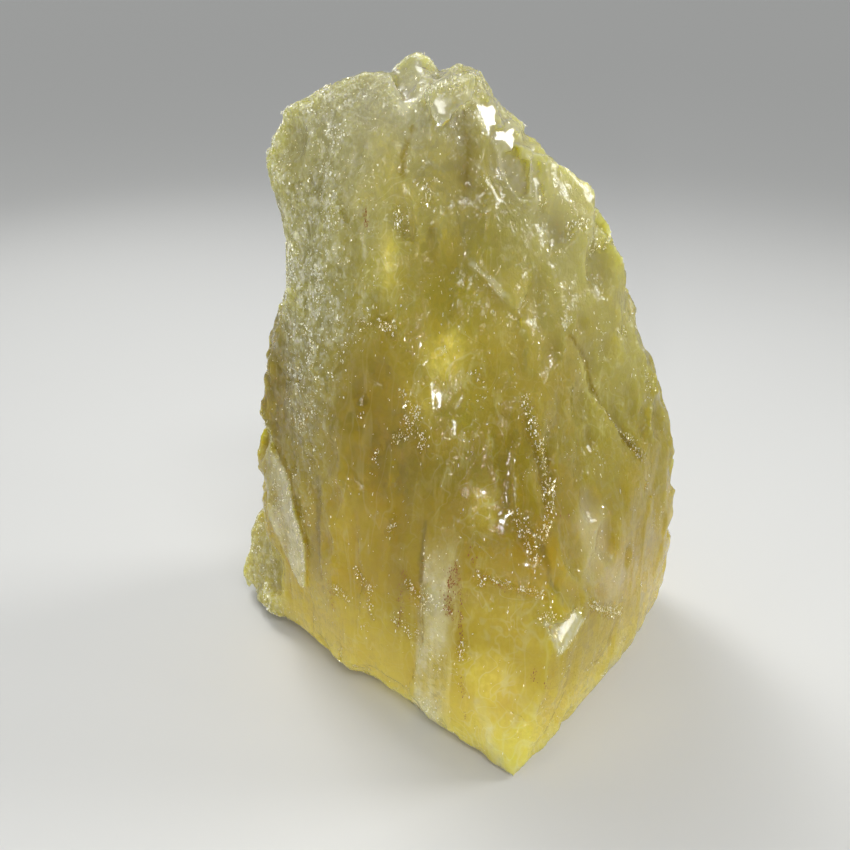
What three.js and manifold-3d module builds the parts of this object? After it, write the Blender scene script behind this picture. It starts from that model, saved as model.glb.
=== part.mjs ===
// Rough citrine: one upright broken lump of yellow quartz, about 160 mm tall, that stands on its flat broken foot.
// Millimetres. +Z is up, +X is to the right and +Y is to the back, with the origin under the middle of the lump.
//
// The lump is made as it formed and broke. Its main mass is the hull of its own corners. The breaks are taken out
// of that: two notches in the crest, and hollow scars, each of which is a piece of a sphere, as the scar that a blow
// leaves in quartz is. The highest shard and the lobe at the foot, which grew as one with it, are joined to it last.
import * as THREE from 'three';
import { ConvexGeometry } from 'three/addons/geometries/ConvexGeometry.js';
import { mergeVertices } from 'three/addons/utils/BufferGeometryUtils.js';
import Module from 'manifold-3d';

const wasm = await Module();
wasm.setup();

// Driving dimensions.
const HEIGHT = 160; // from the foot to the highest shard
const SCAR_FACET = 3; // length of a facet's edge in a hollow scar
const MERGE = 1e-4; // corners closer than this are one corner
const EDGE_PER_RADIUS = 1.0515; // an icosahedron's edge over the radius of the sphere around it

// Corners of the main mass.
const FOOT = [
  [10, -41, 0], [-12, -27, 0], [-36, -3, 0], [-48, 20, 0], [-34, 38, 0],
  [6, 44, 0], [42, 36, 0], [53, 14, 0], [47, 0, 0], [30, -24, 0],
];
const LOWER_EDGE = [
  [14, -51, 1], [-5, -36.8, 3], [-18, -28.3, 4], [-28, -20.6, 5], [-36, -10.6, 6], [-43, -2.2, 6], [-49, 3.9, 6],
  [17.5, -48, 2], [26.6, -37.6, 4], [38.6, -24.6, 6], [47.7, -15.6, 7], [58.7, 1.8, 7], [65, 12.6, 8],
];
const FRONT_RIDGE = [[23, -43, 39], [18, -32, 70], [14, -24, 91], [13, -15, 109], [8, -6, 133], [-5, -2, 148]];
const FRONT_FACE = [[-6, -35, 44], [-8, -22, 96], [-16, -8, 130]];
const LEFT_RIDGE = [[-32, -17, 40], [-30, -14, 72], [-28, -6, 108], [-33, 2, 140]];
const LEFT_EDGE = [[-54.8, 10, 48], [-51.2, 10, 76], [-49, 10, 90], [-44, 10, 139], [-40.6, 10, 148]];
const CREST = [[-25.6, 10, 155], [-16.7, 8, 155.9], [-8, 0, 152.7], [4, 3, 155.5], [0.2, 8, 157.8], [4.6, 9, 156.4]];
const RIGHT_EDGE = [
  [9, 10, 150], [22, 10, 135], [30.5, 10, 128], [37.6, 10, 118], [44.8, 10, 99],
  [55.3, 10, 78], [61.6, 10, 61], [63.3, 10, 42], [64, 10, 25],
];
const RIGHT_FACE = [[41, -14, 64], [37, -26, 38], [30, -8, 100]];
const BACK = [
  [-48, 28, 30], [-44, 34, 60], [-40, 30, 100], [-37, 22, 142], [-22, 21, 152], [2, 19, 152], [18, 23, 134],
  [34, 29, 108], [48, 35, 76], [56, 36, 40], [51, 39, 10], [12, 49, 9], [14, 51, 48], [0, 42, 100],
  [-30, 43, 12], [-26, 46, 50],
];

// The low mass that stands out at the left of the foot.
const LOBE = [
  [-65, 19, 7], [-62, 20, 20], [-56, 20, 33], [-58.5, 12.6, 4], [-49, 3, 6], [-40, -2, 9], [-40, 10, 35],
  [-58, 30, 4], [-54, 32, 26], [-40, 36, 3], [-40, 30, 34], [-50, 14, 0], [-52, 26, 0], [-36, 32, 0],
];

// The highest shard, which stands behind the crest.
const SHARD = [
  [-8.6, 12, HEIGHT], [-13.5, 12, 157.5], [-6.3, 12, 158.4], [-4.6, 10, 153.5], [-3, 16, 152],
  [-20, 6, 144], [-4, 4, 144], [0, 20, 144], [-18, 20, 144],
];

// What is broken out of the crest: in front of the highest shard, and to its right.
const NOTCHES = [
  [[-17.5, -14, 160], [-12.6, -14, 147.5], [-7, -14, 157], [-17.5, 30, 165], [-12.6, 30, 152], [-7, 30, 163]],
  [[-9.5, -6, 158], [-4.5, 6, 152.5], [1.5, 12, 162], [-9.5, 30, 166], [-4.5, 30, 156], [2, 30, 166]],
];

// Hollow scars. at is a scar's deepest point before it is cut, out is the way that its bowl faces, radius is its
// sphere's, and depth is how far the bowl goes in under at.
const SCARS = [
  { name: 'waist in the left side', at: [-46.5, 8, 115], out: [-1, -0.1, 0], radius: 44, depth: 6.4 },
  { name: 'flank over the lobe', at: [-53, 2, 66], out: [-0.8, -0.6, 0], radius: 70, depth: 1.5 },
  { name: 'top of the right crest', at: [10, 8, 150.5], out: [0.7, -0.25, 0.62], radius: 19, depth: 1.9 },
  { name: 'notch under the right crest', at: [20.5, 9, 138.5], out: [0.7, -0.3, 0.6], radius: 22, depth: 1.7 },
  { name: 'chip in the face of the right crest', at: [12, 2, 137], out: [0.4, -0.86, 0.3], radius: 13, depth: 1.3 },
  { name: 'dish in the right face', at: [36, -6, 90], out: [0.6, -0.77, 0.2], radius: 120, depth: 1.6 },
  { name: 'hollow in the lower right edge', at: [63, 20, 42], out: [0.88, 0.47, 0], radius: 70, depth: 4 },
  { name: 'chip at the front ridge foot', at: [25, -43.5, 31], out: [0.6, -0.8, -0.1], radius: 13, depth: 1.6 },
  { name: 'upper left of the back', at: [-32, 28, 118], out: [-0.45, 0.86, 0.24], radius: 95, depth: 6.5 },
  { name: 'upper right of the back', at: [20, 26, 124], out: [0.42, 0.78, 0.46], radius: 80, depth: 5.5 },
  { name: 'middle left of the back', at: [-36, 38, 66], out: [-0.5, 0.86, 0.1], radius: 90, depth: 7 },
  { name: 'middle right of the back', at: [34, 38, 78], out: [0.5, 0.84, 0.2], radius: 100, depth: 6.5 },
  { name: 'middle of the back', at: [0, 46, 60], out: [0, 0.99, 0.12], radius: 76, depth: 5.5 },
  { name: 'lower left of the back', at: [-32, 45, 20], out: [-0.35, 0.93, -0.12], radius: 62, depth: 5 },
  { name: 'lower right of the back', at: [38, 44, 26], out: [0.4, 0.9, -0.12], radius: 72, depth: 5 },
  { name: 'crest seen from the back', at: [-12, 20, 149], out: [-0.1, 0.8, 0.6], radius: 34, depth: 3.5 },
];

// The solid of a closed geometry, once corners in one place are merged.
function solidOf(geometry) {
  geometry.deleteAttribute('normal');
  geometry.deleteAttribute('uv');
  const merged = mergeVertices(geometry, MERGE);
  return new wasm.Manifold(new wasm.Mesh({
    numProp: 3,
    vertProperties: merged.getAttribute('position').array,
    triVerts: new Uint32Array(merged.index.array),
  }));
}

function hull(corners) {
  return solidOf(new ConvexGeometry(corners.map((corner) => new THREE.Vector3(...corner))));
}

// The ball that a hollow scar is a piece of. It is an icosahedron whose edges are divided and then rounded out.
function scarBall({ at, out, radius, depth }) {
  const away = new THREE.Vector3(...out).setLength(radius - depth);
  const middle = new THREE.Vector3(...at).add(away);
  const detail = Math.round((EDGE_PER_RADIUS * radius) / SCAR_FACET);
  return solidOf(new THREE.IcosahedronGeometry(radius, detail).translate(...middle));
}

function geometryOf(solid) {
  const { vertProperties, triVerts } = solid.getMesh();
  const geometry = new THREE.BufferGeometry();
  geometry.setAttribute('position', new THREE.BufferAttribute(vertProperties, 3));
  geometry.setIndex(new THREE.BufferAttribute(triVerts, 1));
  return geometry;
}

const mainMass = hull([
  ...FOOT, ...LOWER_EDGE, ...FRONT_RIDGE, ...FRONT_FACE, ...LEFT_RIDGE, ...LEFT_EDGE,
  ...CREST, ...RIGHT_EDGE, ...RIGHT_FACE, ...BACK,
]);
let broken = mainMass;
for (const notch of NOTCHES) broken = broken.subtract(hull(notch));
for (const scar of SCARS) broken = broken.subtract(scarBall(scar));
const lump = broken.add(hull(SHARD)).add(hull(LOBE));

const citrine = new THREE.Mesh(
  geometryOf(lump),
  new THREE.MeshStandardMaterial({ color: 0xa89540, roughness: 0.25, metalness: 0, transparent: true, opacity: 0.85 }),
);
citrine.name = 'citrine';

// The origin goes under the middle of the lump's box.
citrine.geometry.computeBoundingBox();
const middle = citrine.geometry.boundingBox.getCenter(new THREE.Vector3());
citrine.position.set(-middle.x, -middle.y, 0);

const part = new THREE.Group();
part.add(citrine);

export default part;
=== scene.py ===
"""Rough citrine: the looks of one broken lump of yellow quartz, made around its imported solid.

The lump's skin is a fine copy of the solid, broken further with scars, ledges, chips and grain. What is
sealed in the crystal, which is its veils, cracks and rust, is made as swarms and sheets inside the skin.

Shapes are worked out in millimetres and put into meshes in metres. +Z is up, +X is to the right and +Y is
to the back, seen from the side with the sharp low tip.
"""

import itertools
import math

import bmesh
import bpy
import numpy as np
import openvdb
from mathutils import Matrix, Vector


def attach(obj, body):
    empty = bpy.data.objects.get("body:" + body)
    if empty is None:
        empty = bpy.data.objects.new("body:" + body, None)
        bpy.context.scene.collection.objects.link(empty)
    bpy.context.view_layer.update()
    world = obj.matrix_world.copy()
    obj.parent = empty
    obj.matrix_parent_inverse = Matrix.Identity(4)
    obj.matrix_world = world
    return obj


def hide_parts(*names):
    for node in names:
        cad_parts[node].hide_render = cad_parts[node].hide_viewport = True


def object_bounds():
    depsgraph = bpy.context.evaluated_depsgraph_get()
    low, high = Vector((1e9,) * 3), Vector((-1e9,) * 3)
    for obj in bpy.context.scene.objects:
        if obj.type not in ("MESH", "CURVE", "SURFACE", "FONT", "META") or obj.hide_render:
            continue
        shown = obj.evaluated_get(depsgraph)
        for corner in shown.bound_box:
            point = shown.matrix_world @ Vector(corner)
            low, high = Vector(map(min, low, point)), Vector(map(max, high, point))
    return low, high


MM = 0.001

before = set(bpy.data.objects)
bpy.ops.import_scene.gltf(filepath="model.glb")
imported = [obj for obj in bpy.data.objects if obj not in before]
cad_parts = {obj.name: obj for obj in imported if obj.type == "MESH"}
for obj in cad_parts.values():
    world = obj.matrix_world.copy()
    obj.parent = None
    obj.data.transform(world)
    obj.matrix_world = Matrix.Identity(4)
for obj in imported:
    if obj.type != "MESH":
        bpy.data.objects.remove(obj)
cad_low, cad_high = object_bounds()
LOW = np.array(cad_low) / MM
HIGH = np.array(cad_high) / MM
HEIGHT = HIGH[2] - LOW[2]

# ---------------------------------------------------------------- camera


def make_camera():
    """A normal lens that looks down on the lump by 29 degrees, from in front of its tip and just left of
    it."""
    lens = bpy.data.cameras.new("camera")
    lens.lens = 36
    lens.sensor_width = 36
    camera = bpy.data.objects.new("camera", lens)
    left, ahead, above = 7.9, 141.5, 1.115 * HEIGHT
    camera.location = (-left * MM, (LOW[1] - ahead) * MM, above * MM)
    camera.rotation_euler = (math.radians(90 - 29), 0, 0)
    bpy.context.collection.objects.link(camera)
    bpy.context.scene.camera = camera


make_camera()

# ---------------------------------------------------------------- noise


def corner_numbers(cells, seeds):
    """A random number from 0 to 1 for each whole-numbered cell corner and each seed: the bits of the
    corner's three numbers and of the seed, mixed."""
    across, back, up = cells.T.astype(np.uint32)
    corner = (across * 73856093) ^ (back * 19349663) ^ (up * 83492791)
    numbers = []
    for seed in seeds:
        mixed = corner ^ np.uint32(seed * 2654435761 & 0xFFFFFFFF)
        for _ in range(2):
            mixed = ((mixed >> 16) ^ mixed) * 0x45D9F3B
        numbers.append(((mixed >> 16) ^ mixed) / 0xFFFFFFFF)
    return np.stack(numbers, 1)


def noise(points, size, seed):
    """Smooth noise from -1 to 1 with waves about size long: a cell's eight corner numbers, blended by
    smoothstep."""
    place = points / np.asarray(size, float)
    cell = np.floor(place).astype(np.int64)
    part = place - cell
    part = part * part * (3 - 2 * part)
    total = np.zeros(len(points))
    sides = (1 - part, part)
    for i, j, k in itertools.product((0, 1), repeat=3):
        share = sides[i][:, 0] * sides[j][:, 1] * sides[k][:, 2]
        total += share * corner_numbers(cell + np.array([i, j, k]), [seed])[:, 0]
    return 2 * total - 1


def rough_noise(points, size, seed, layers=3):
    """Layers of noise, each with half the waves and half the height of the last."""
    return sum(noise(points, np.asarray(size) / 2**k, seed + k) / 2**k for k in range(layers))


def smoothstep(low, high, value):
    """0 up to low, 1 from high, and a smooth rise between them."""
    part = np.clip((value - low) / (high - low), 0, 1)
    return part * part * (3 - 2 * part)


# ---------------------------------------------------------------- skin


class Skin:
    """The lump's outside: its points in millimetres, and the corners of its faces."""

    def __init__(self, points, quads, edges=None):
        self.points = points
        self.quads = quads
        if edges is None:
            sides = np.stack([quads, np.roll(quads, -1, 1)], 2).reshape(-1, 2)
            edges = np.unique(np.sort(sides, 1), axis=0)
        self.edges = edges

    def summed(self, at, values):
        """The sum of values, one row each, at the points that at numbers."""
        return np.stack([np.bincount(at, column, len(self.points)) for column in values.T], 1)

    def normals(self):
        """Each point's outward direction: the sum of its faces' crossed diagonals, at length one."""
        corners = self.points[self.quads]
        crossed = np.cross(corners[:, 2] - corners[:, 0], corners[:, 3] - corners[:, 1])
        total = self.summed(self.quads.ravel(), np.repeat(crossed, 4, 0))
        return total / np.maximum(np.linalg.norm(total, axis=1), 1e-9)[:, None]

    def smooth(self, times, amount=0.5):
        """Each point goes amount of the way to the mean of its neighbours, times over."""
        first, second = self.edges.T
        count = np.bincount(self.edges.ravel(), minlength=len(self.points))[:, None]
        for _ in range(times):
            total = self.summed(first, self.points[second]) + self.summed(second, self.points[first])
            self.points += amount * (total / count - self.points)


# ---------------------------------------------------------------- the lump as a field


def unit(vector):
    return np.asarray(vector, float) / np.linalg.norm(vector)


def joined_solid():
    """The corners and triangles of the solid, once its loose triangles are joined."""
    build = bmesh.new()
    build.from_mesh(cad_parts["citrine"].data)
    bmesh.ops.remove_doubles(build, verts=build.verts, dist=0.01 * MM)
    bmesh.ops.triangulate(build, faces=build.faces)
    corners = np.array([vert.co for vert in build.verts], dtype=np.float32) / MM
    triangles = np.array([[vert.index for vert in face.verts] for face in build.faces], dtype=np.uint32)
    build.free()
    return corners, triangles


class Stone:
    """The lump while it is broken: a grid of numbers, each of which says how many millimetres its place is
    outside the skin, or inside if it is under 0. Where a number grows, the skin there goes in."""

    pitch = 0.87
    margin = 6
    band = 10.0
    # The numbers are right up to this far from the skin.
    reach = 0.95 * band

    def __init__(self, corners, triangles):
        self.transform = openvdb.createLinearTransform(voxelSize=self.pitch)
        grid = openvdb.FloatGrid.createLevelSetFromPolygons(
            corners.astype(np.float32),
            triangles=triangles,
            transform=self.transform,
            halfWidth=self.band / self.pitch,
        )
        self.first = np.floor(LOW / self.pitch).astype(int) - self.margin
        last = np.ceil(HIGH / self.pitch).astype(int) + self.margin
        self.field = np.empty(last - self.first, dtype=np.float32)
        grid.copyToArray(self.field, ijk=tuple(int(i) for i in self.first))
        self.whole = self.field.copy()
        self.shards = []

    def cells(self, places):
        """The grid's cells that hold these places."""
        return np.round(np.asarray(places) / self.pitch).astype(int) - self.first

    def near_skin(self, reach, low=None, high=None):
        """The cells within reach of the skin, inside a box if one is given, and their places."""
        first = np.maximum(self.cells(LOW - 9 if low is None else low), 0)
        last = np.minimum(self.cells(HIGH + 9 if high is None else high) + 1, self.field.shape)
        part = self.field[first[0] : last[0], first[1] : last[1], first[2] : last[2]]
        found = np.argwhere(np.abs(part) < reach) + first
        return tuple(found.T), (found + self.first) * self.pitch

    def ball(
        self, at, out, radius, depth,
        stretch=(1, 1, 1), ripple=0.0, wave=3.0, strike=None, ragged=0.25, seed=0,
    ):
        """A hollow scar: takes away a ball that faces out and goes depth under at. The ball is stretched
        along the axes. Its surface swells by ripple, in rings about wave apart round the strike point, and
        by noise of ragged times the depth, so that the scar's rim wanders. Nowhere does the whole lump lose
        more than 1.6 depths."""
        stretch = np.asarray(stretch, float)
        out = unit(unit(out) * stretch)
        middle = at + out * (radius - depth) * stretch
        cells, places = self.near_skin(self.reach, middle - radius * stretch, middle + radius * stretch)
        reach = np.linalg.norm((places - middle) / stretch, axis=1)
        close = np.abs(reach - radius) < 4 + depth
        edge = np.full(len(places), float(radius))
        edge[close] += ragged * depth * (rough_noise(places[close], 4.0, seed, 2) - 0.5)
        if ripple:
            rings = np.linalg.norm(places[close] - (at if strike is None else strike), axis=1)
            edge[close] -= ripple * (1 + np.sin(2 * np.pi * rings / wave))
        taken = np.minimum(edge - reach, self.whole[cells] + 1.6 * depth)
        self.field[cells] = np.maximum(self.field[cells], taken)

    def past_sides(self, places, corners):
        """How far each place is outside a convex outline, whose corners are x and z, anticlockwise from in
        front."""
        corners = np.asarray(corners, float)
        sides = np.roll(corners, -1, 0) - corners
        outward = np.stack([sides[:, 1], -sides[:, 0]], 1) / np.linalg.norm(sides, axis=1)[:, None]
        return ((places[:, None, ::2] - corners) * outward).sum(2).max(1)

    def behind_outline(self, corners, back):
        """The cells near the skin behind an outline of x and z, from the front as far as back, and their
        places."""
        (left, low), (right, high) = np.min(corners, 0), np.max(corners, 0)
        return self.near_skin(
            self.reach, np.array([left, LOW[1], low]) - 2, np.array([right, back, high]) + 2
        )

    def shard(self, corners, proud, flat_at):
        """A splinter that stands proud of the front: the whole lump swollen by proud and cut to an outline
        of x and z. Its front is cut flat too, square to the skin at flat_at."""
        cells, places = self.behind_outline(corners, HIGH[1])
        at, out = self.spot(*flat_at)
        body = np.maximum(self.whole[cells] - proud, self.past_sides(places, corners))
        body = np.maximum(body, (places - at) @ out - proud)
        self.shards.append((cells, body.astype(np.float32)))
        self.renew_shards()

    def renew_shards(self):
        """Gives every shard back what was broken out of it since it was made."""
        for cells, body in self.shards:
            self.field[cells] = np.minimum(self.field[cells], body)

    def cut(self, corners, out, low_at):
        """A flat-floored notch: inside an outline of x and z, takes away all that is past a plane which
        faces out and goes through the skin at low_at."""
        cells, places = self.behind_outline(corners, 10)
        at, _ = self.spot(*low_at)
        past = np.minimum((places - at) @ unit(out), -self.past_sides(places, corners))
        self.field[cells] = np.maximum(self.field[cells], past.astype(np.float32))

    def soften(self, times, share):
        """Rounds every fold by blending each number with its neighbours, times over. share is how much of
        that happens at each place, from 0 to 1."""
        soft = self.field.copy()
        for _ in range(times):
            for axis in range(3):
                soft = (np.roll(soft, 1, axis) + 2 * soft + np.roll(soft, -1, axis)) / 4
        cells, places = self.near_skin(self.reach)
        amount = share(places).astype(np.float32)
        self.field[cells] += amount * (soft[cells] - self.field[cells] - 0.35)

    def sink(self, amount, reach=4.0):
        """Moves the skin in by amount, which is worked out from each place near the skin."""
        cells, places = self.near_skin(reach)
        self.field[cells] += amount(places)

    def keep_crest(self):
        """Near the crest the lump loses no more than half a millimetre, so that its peaks stay."""
        cells, places = self.near_skin(self.reach)
        height = places[:, 2] + 0.15 * abs(places[:, 0] + 3)
        most = self.whole[cells] + 0.4 + 12 * (1 - smoothstep(147, 153, height))
        self.field[cells] = np.minimum(self.field[cells], most.astype(np.float32))

    def spot(self, x, z, side=-1):
        """The skin's place and outward direction at x and z, seen from the front (side -1) or the back
        (side 1)."""
        i, _, k = self.cells((x, 0, z))
        column = self.field[i, ::-side, k]
        inside = max(int(np.argmax(column <= max(column.min(), 0))), 1)
        steps = inside - np.clip(column[inside] / (column[inside] - column[inside - 1] - 1e-6), 0, 1)
        if side > 0:
            steps = len(column) - 1 - steps
        place = np.array([x, (steps + self.first[1]) * self.pitch, z])
        return place, self.out(place)

    def out(self, place):
        """The outward direction at a place: the way in which the field grows, taken over two cells each
        way."""
        i, j, k = self.cells(place)
        field = self.field
        return unit(
            (
                field[i + 2, j, k] - field[i - 2, j, k],
                field[i, j + 2, k] - field[i, j - 2, k],
                field[i, j, k + 2] - field[i, j, k - 2],
            )
        )

    def skin(self):
        """The skin where the field is 0."""
        grid = openvdb.FloatGrid(self.band)
        grid.copyFromArray(self.field, ijk=tuple(int(i) for i in self.first))
        grid.transform = self.transform
        points, quads = grid.convertToQuads(0.0)
        return Skin(points.astype(float), quads.astype(np.int64))


# ---------------------------------------------------------------- ways that quartz breaks


def along(points, path):
    """How far each point is from a path of straight runs, how far along it from 0 to 1, and that place and
    run."""
    path = np.asarray(path, float)
    runs = np.diff(path, axis=0)
    lengths = np.linalg.norm(runs, axis=1)
    starts = np.concatenate([[0], np.cumsum(lengths)])
    best = np.full(len(points), np.inf)
    place = np.zeros(len(points))
    foot = np.zeros_like(points)
    way = np.zeros_like(points)
    for start, run, length, done in zip(path, runs, lengths, starts):
        part = np.clip((points - start) @ run / length**2, 0, 1)
        spot = start + part[:, None] * run
        away = np.linalg.norm(points - spot, axis=1)
        nearer = away < best
        best[nearer] = away[nearer]
        place[nearer] = ((done + part * length) / starts[-1])[nearer]
        foot[nearer] = spot[nearer]
        way[nearer] = run / length
    return best, place, foot, way


def ends(place):
    """1 along a path, fading to 0 at both ends."""
    return np.sqrt(np.clip(np.sin(np.pi * np.clip(place, 0, 1)), 0, 1))


def ledge(stone, corners, height, width, jag, seed, side=-1):
    """A broken edge along a path: the skin on the path's right drops by height at once, and comes back up
    to its old level over width. The path is shaken sideways by noise of jag, and the drop fades at both
    ends."""
    spots = [stone.spot(x, z, side) for x, z in corners]
    path = np.array([spot[0] for spot in spots])
    facing = unit(np.mean([spot[1] for spot in spots], 0))
    cells, places = stone.near_skin(4.0, path.min(0) - 1.3 * width, path.max(0) + 1.3 * width)
    away, place, foot, way = along(places, path)
    right = np.cross(way, facing)
    right /= np.linalg.norm(right, axis=1)[:, None]
    across = ((places - foot) * right).sum(1) + jag * rough_noise(places, 3.0, seed)
    beside = away < np.abs(across) * 1.6 + 1.5
    drop = height * np.clip(1 - across / width, 0, 1) ** 1.5 * smoothstep(-0.45, 0.45, across)
    stone.field[cells] += (drop * ends(place) * beside).astype(np.float32)


def groove(stone, corners, depth, width):
    """A soft channel along a path, with a bell-shaped section. A depth under 0 makes a rib."""
    path = np.array([stone.spot(x, z)[0] for x, z in corners])
    cells, places = stone.near_skin(4.0, path.min(0) - 3 * width, path.max(0) + 3 * width)
    away, place, _, _ = along(places, path)
    stone.field[cells] += (depth * np.exp(-((away / width) ** 2)) * ends(place)).astype(np.float32)


def facets(points, size, tilt, seed):
    """Height of a broken-up surface: each point belongs to the nearest of many seeds, one at a random place
    in each lattice cell of that size, and each seed's facet leans its own way by about tilt."""
    size = np.asarray(size, float)
    place = points / size
    cell = np.floor(place).astype(np.int64)
    best = np.full(len(points), np.inf)
    height = np.zeros(len(points))
    for step in itertools.product((-1, 0, 1), repeat=3):
        near = cell + np.array(step)
        away = place - near - corner_numbers(near, [seed, seed + 1, seed + 2])
        far = (away**2).sum(1)
        nearer = np.flatnonzero(far < best)
        best[nearer] = far[nearer]
        lean = corner_numbers(near[nearer], [seed + 3, seed + 4, seed + 5]) * 2 - 1
        height[nearer] = (away[nearer] * size * lean).sum(1) * tilt
    return height


def sharpness(skin, rounds=14):
    """How far each point stands out of a well smoothed copy of the skin, in millimetres."""
    soft = Skin(skin.points.copy(), skin.quads, skin.edges)
    soft.smooth(rounds)
    return ((skin.points - soft.points) * skin.normals()).sum(1)


class Edges:
    """Where the lump's sharp edges are, to break scars out of them at random."""

    def __init__(self, skin, rng):
        self.skin = skin
        self.points = skin.points
        self.normals = skin.normals()
        hidden = smoothstep(-0.75, -0.1, self.normals[:, 1])
        self.off_foot = (skin.points[:, 2] > 4) * 1.0
        self.flanks = hidden * self.off_foot
        self.back = smoothstep(0.05, 0.5, self.normals[:, 1]) * self.off_foot
        x, _, z = skin.points.T
        lobe = smoothstep(46, 40, abs(x + 8) * (z < 34) * (x < 0))
        self.weight = np.clip(sharpness(skin) - 0.1, 0, 1.0) * (z > 1.5) * (0.02 + hidden) * lobe
        self.rng = rng

    def scars(self, stone, count, radii, share, lean=1.0, stretch=1.0, top=1e3, ripple=0.0, where=None):
        """Scars of radii from least to greatest, each a random part of share of its radius deep. Each faces
        a random way near its point's own, nearer for a large one, and none is above top. They are at sharp
        edges, or as often as where says."""
        weight = self.weight if where is None else where
        weight = weight * (self.points[:, 2] < top)
        for index in self.rng.choice(len(weight), count, replace=False, p=weight / weight.sum()):
            radius = radii[0] * (radii[1] / radii[0]) ** self.rng.random()
            out = unit(self.normals[index] + lean / np.sqrt(radius) * self.rng.normal(size=3))
            depth = radius * share * self.rng.uniform(0.4, 1.4)
            at = self.points[index]
            stone.ball(at, out, radius, depth, (1, 1, stretch), ripple, 2.5, at, seed=int(index))


# ---------------------------------------------------------------- the lump's own breaks


# Outlines on the front, as x and z, anticlockwise from in front: the blade that stands up in front of the
# lobe, the two shards at the crest, the right one's face, which gets a whitish painted sheen, and the notch
# in the ridge over the tip.
BLADE = [
    (-52.3, 57), (-51.3, 41), (-47.6, 31), (-43, 22.5), (-41.3, 24), (-40.3, 38.7), (-45, 57.8), (-49.8, 63.5)
]
CREST_PLATE = [(-16.4, 156.5), (-12.4, 148.6), (-8.4, 152.8), (-9.0, 159.6), (-11.0, 158.8)]
CREST_WEDGE = [(-8.3, 152.6), (-4.9, 146.8), (2.4, 151.6), (3.0, 156.5), (-3.6, 155.4)]
WEDGE_FACE = [(-8.2, 152.4), (-4.9, 147.0), (2.2, 151.4), (2.4, 156.0), (-3.6, 155.5)]
NOTCH = [(20.0, 41.8), (24.2, 33.6), (30.5, 37.6), (28.5, 41.4)]
# Paths on the front, as x and z: the blade's right edge, the jagged crack high on the right, and the
# glittering ledge down the middle with its lower end.
BLADE_EDGE = [(-41.6, 24.3), (-41, 38.7), (-43.6, 50.6), (-45, 57.8), (-49.8, 63.5)]
CRACK = [(47.3, 65.8), (42.2, 71.3), (37.2, 79.5), (32.6, 86), (30.8, 93.3), (25.4, 101.7)]
GLITTER_LEDGE = [(14.5, 91), (16.5, 84), (18.8, 78), (20.7, 71.5), (20.9, 66.5), (19.7, 62.7)]
GLITTER_END = [(13.7, 66.6), (16.2, 59.2), (17.8, 57)]
# Flat faces that shine: corners as x and z, the way each faces, where it meets the skin, and how strong the
# whitish painted sheen on it is. The first five go down the crest's right slope, one is the crest's own, and
# the last two are over the tip.
CLEAN_FACES = [
    ([(3.4, 151), (5.0, 144.5), (8.4, 144.2), (8.8, 150)], (0.64, -0.617, 0.487), (4.6, 146.0), 0.35),
    ([(5.8, 144.2), (8.4, 139.6), (13.4, 141.2), (12.4, 145.6)], (0.66, -0.607, 0.442), (8.4, 142.2), 0.35),
    ([(8.6, 139.4), (10.2, 134), (12.2, 134), (13.6, 140.4)], (0.615, -0.617, 0.482), (10.6, 136.6), 0.35),
    (
        [(10.8, 134), (13.4, 130.4), (15.4, 131.6), (15.2, 138), (12.4, 137)],
        (0.65, -0.637, 0.467), (13.4, 132.8), 0.35,
    ),
    ([(15.8, 139), (16.4, 130), (18.4, 131), (18.0, 138)], (0.665, -0.602, 0.457), (16.9, 133.4), 0.35),
    (
        [(-8.0, 152.2), (-5.0, 147.2), (-2.6, 148.8), (-5.6, 153.4)],
        (0.105, -0.855, 0.507), (-5.0, 147.8), 0.35,
    ),
    (NOTCH, (0.0, -0.64, 0.77), (24.4, 34.6), 1.0),
    ([(12.6, 17.6), (13.6, 13.8), (16.2, 16.4)], (0.1, -0.7, 0.7), (13.8, 14.4), 0.3),
]
# Soft channels, each with its depth, its width and its path as x and z: first those that run up the crystal
# from its waist to its crest, then those beside the ridges that run down into the tip.
CHANNELS = [
    (1.6, 3.4, [(-1.5, 148), (0.1, 139), (1.0, 131), (-0.3, 115)]),
    (0.9, 3.0, [(9, 140), (9, 128), (6, 112)]),
    (1.3, 2.2, [(-28.9, 148), (-30.7, 140), (-33.4, 129), (-36.2, 119), (-38, 104)]),
    (0.6, 3.0, [(-14, 147), (-14.5, 138), (-13, 124), (-10, 104)]),
    (-0.5, 4.0, [(-24, 146), (-24, 130), (-22, 108), (-22, 90)]),
    (0.7, 4.0, [(-3, 110), (-4, 96), (-3, 84)]),
    (0.5, 4.5, [(-16, 96), (-18, 80), (-17, 60)]),
    (0.6, 4.0, [(4, 92), (5, 76), (3, 56)]),
]
TIP_CHANNELS = [
    (0.8, 1.8, [(28.5, 30), (27.5, 16), (23, 8.5), (17, 4)]),
    (0.6, 1.5, [(9, 26), (10.5, 14), (12.5, 5)]),
]
# Ledges, each with its height, its width, how far it is shaken, its seed and its path as x and z.
LEDGES = [
    (0.6, 5, 0.2, 33, [(27.1, 125), (29, 120), (32, 118.1), (35.5, 119.2)]),
    # The spear-shaped break in the main ridge, and the waxy hollow low on the right.
    (1.5, 12, 0.25, 3, [(0.6, 122), (6.3, 116), (12.7, 109), (15.8, 113.5), (18, 119)]),
    (1.3, 16, 0.2, 5, [(38.5, 34.8), (30.4, 45), (24.7, 55), (22.8, 63.5)]),
    (1.8, 10, 0.6, 6, CRACK),
    (1.5, 8, 0.5, 7, GLITTER_LEDGE),
    (0.9, 5, 0.3, 8, GLITTER_END),
    (0.9, 9, 0.4, 9, [(5, 51.7), (14, 49.3), (21, 48.7)]),
    (0.9, 8, 0.5, 10, [(43.9, 27.4), (32.6, 39.8), (30, 41)]),
    (1.3, 9, 0.35, 12, BLADE_EDGE),
]
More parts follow.
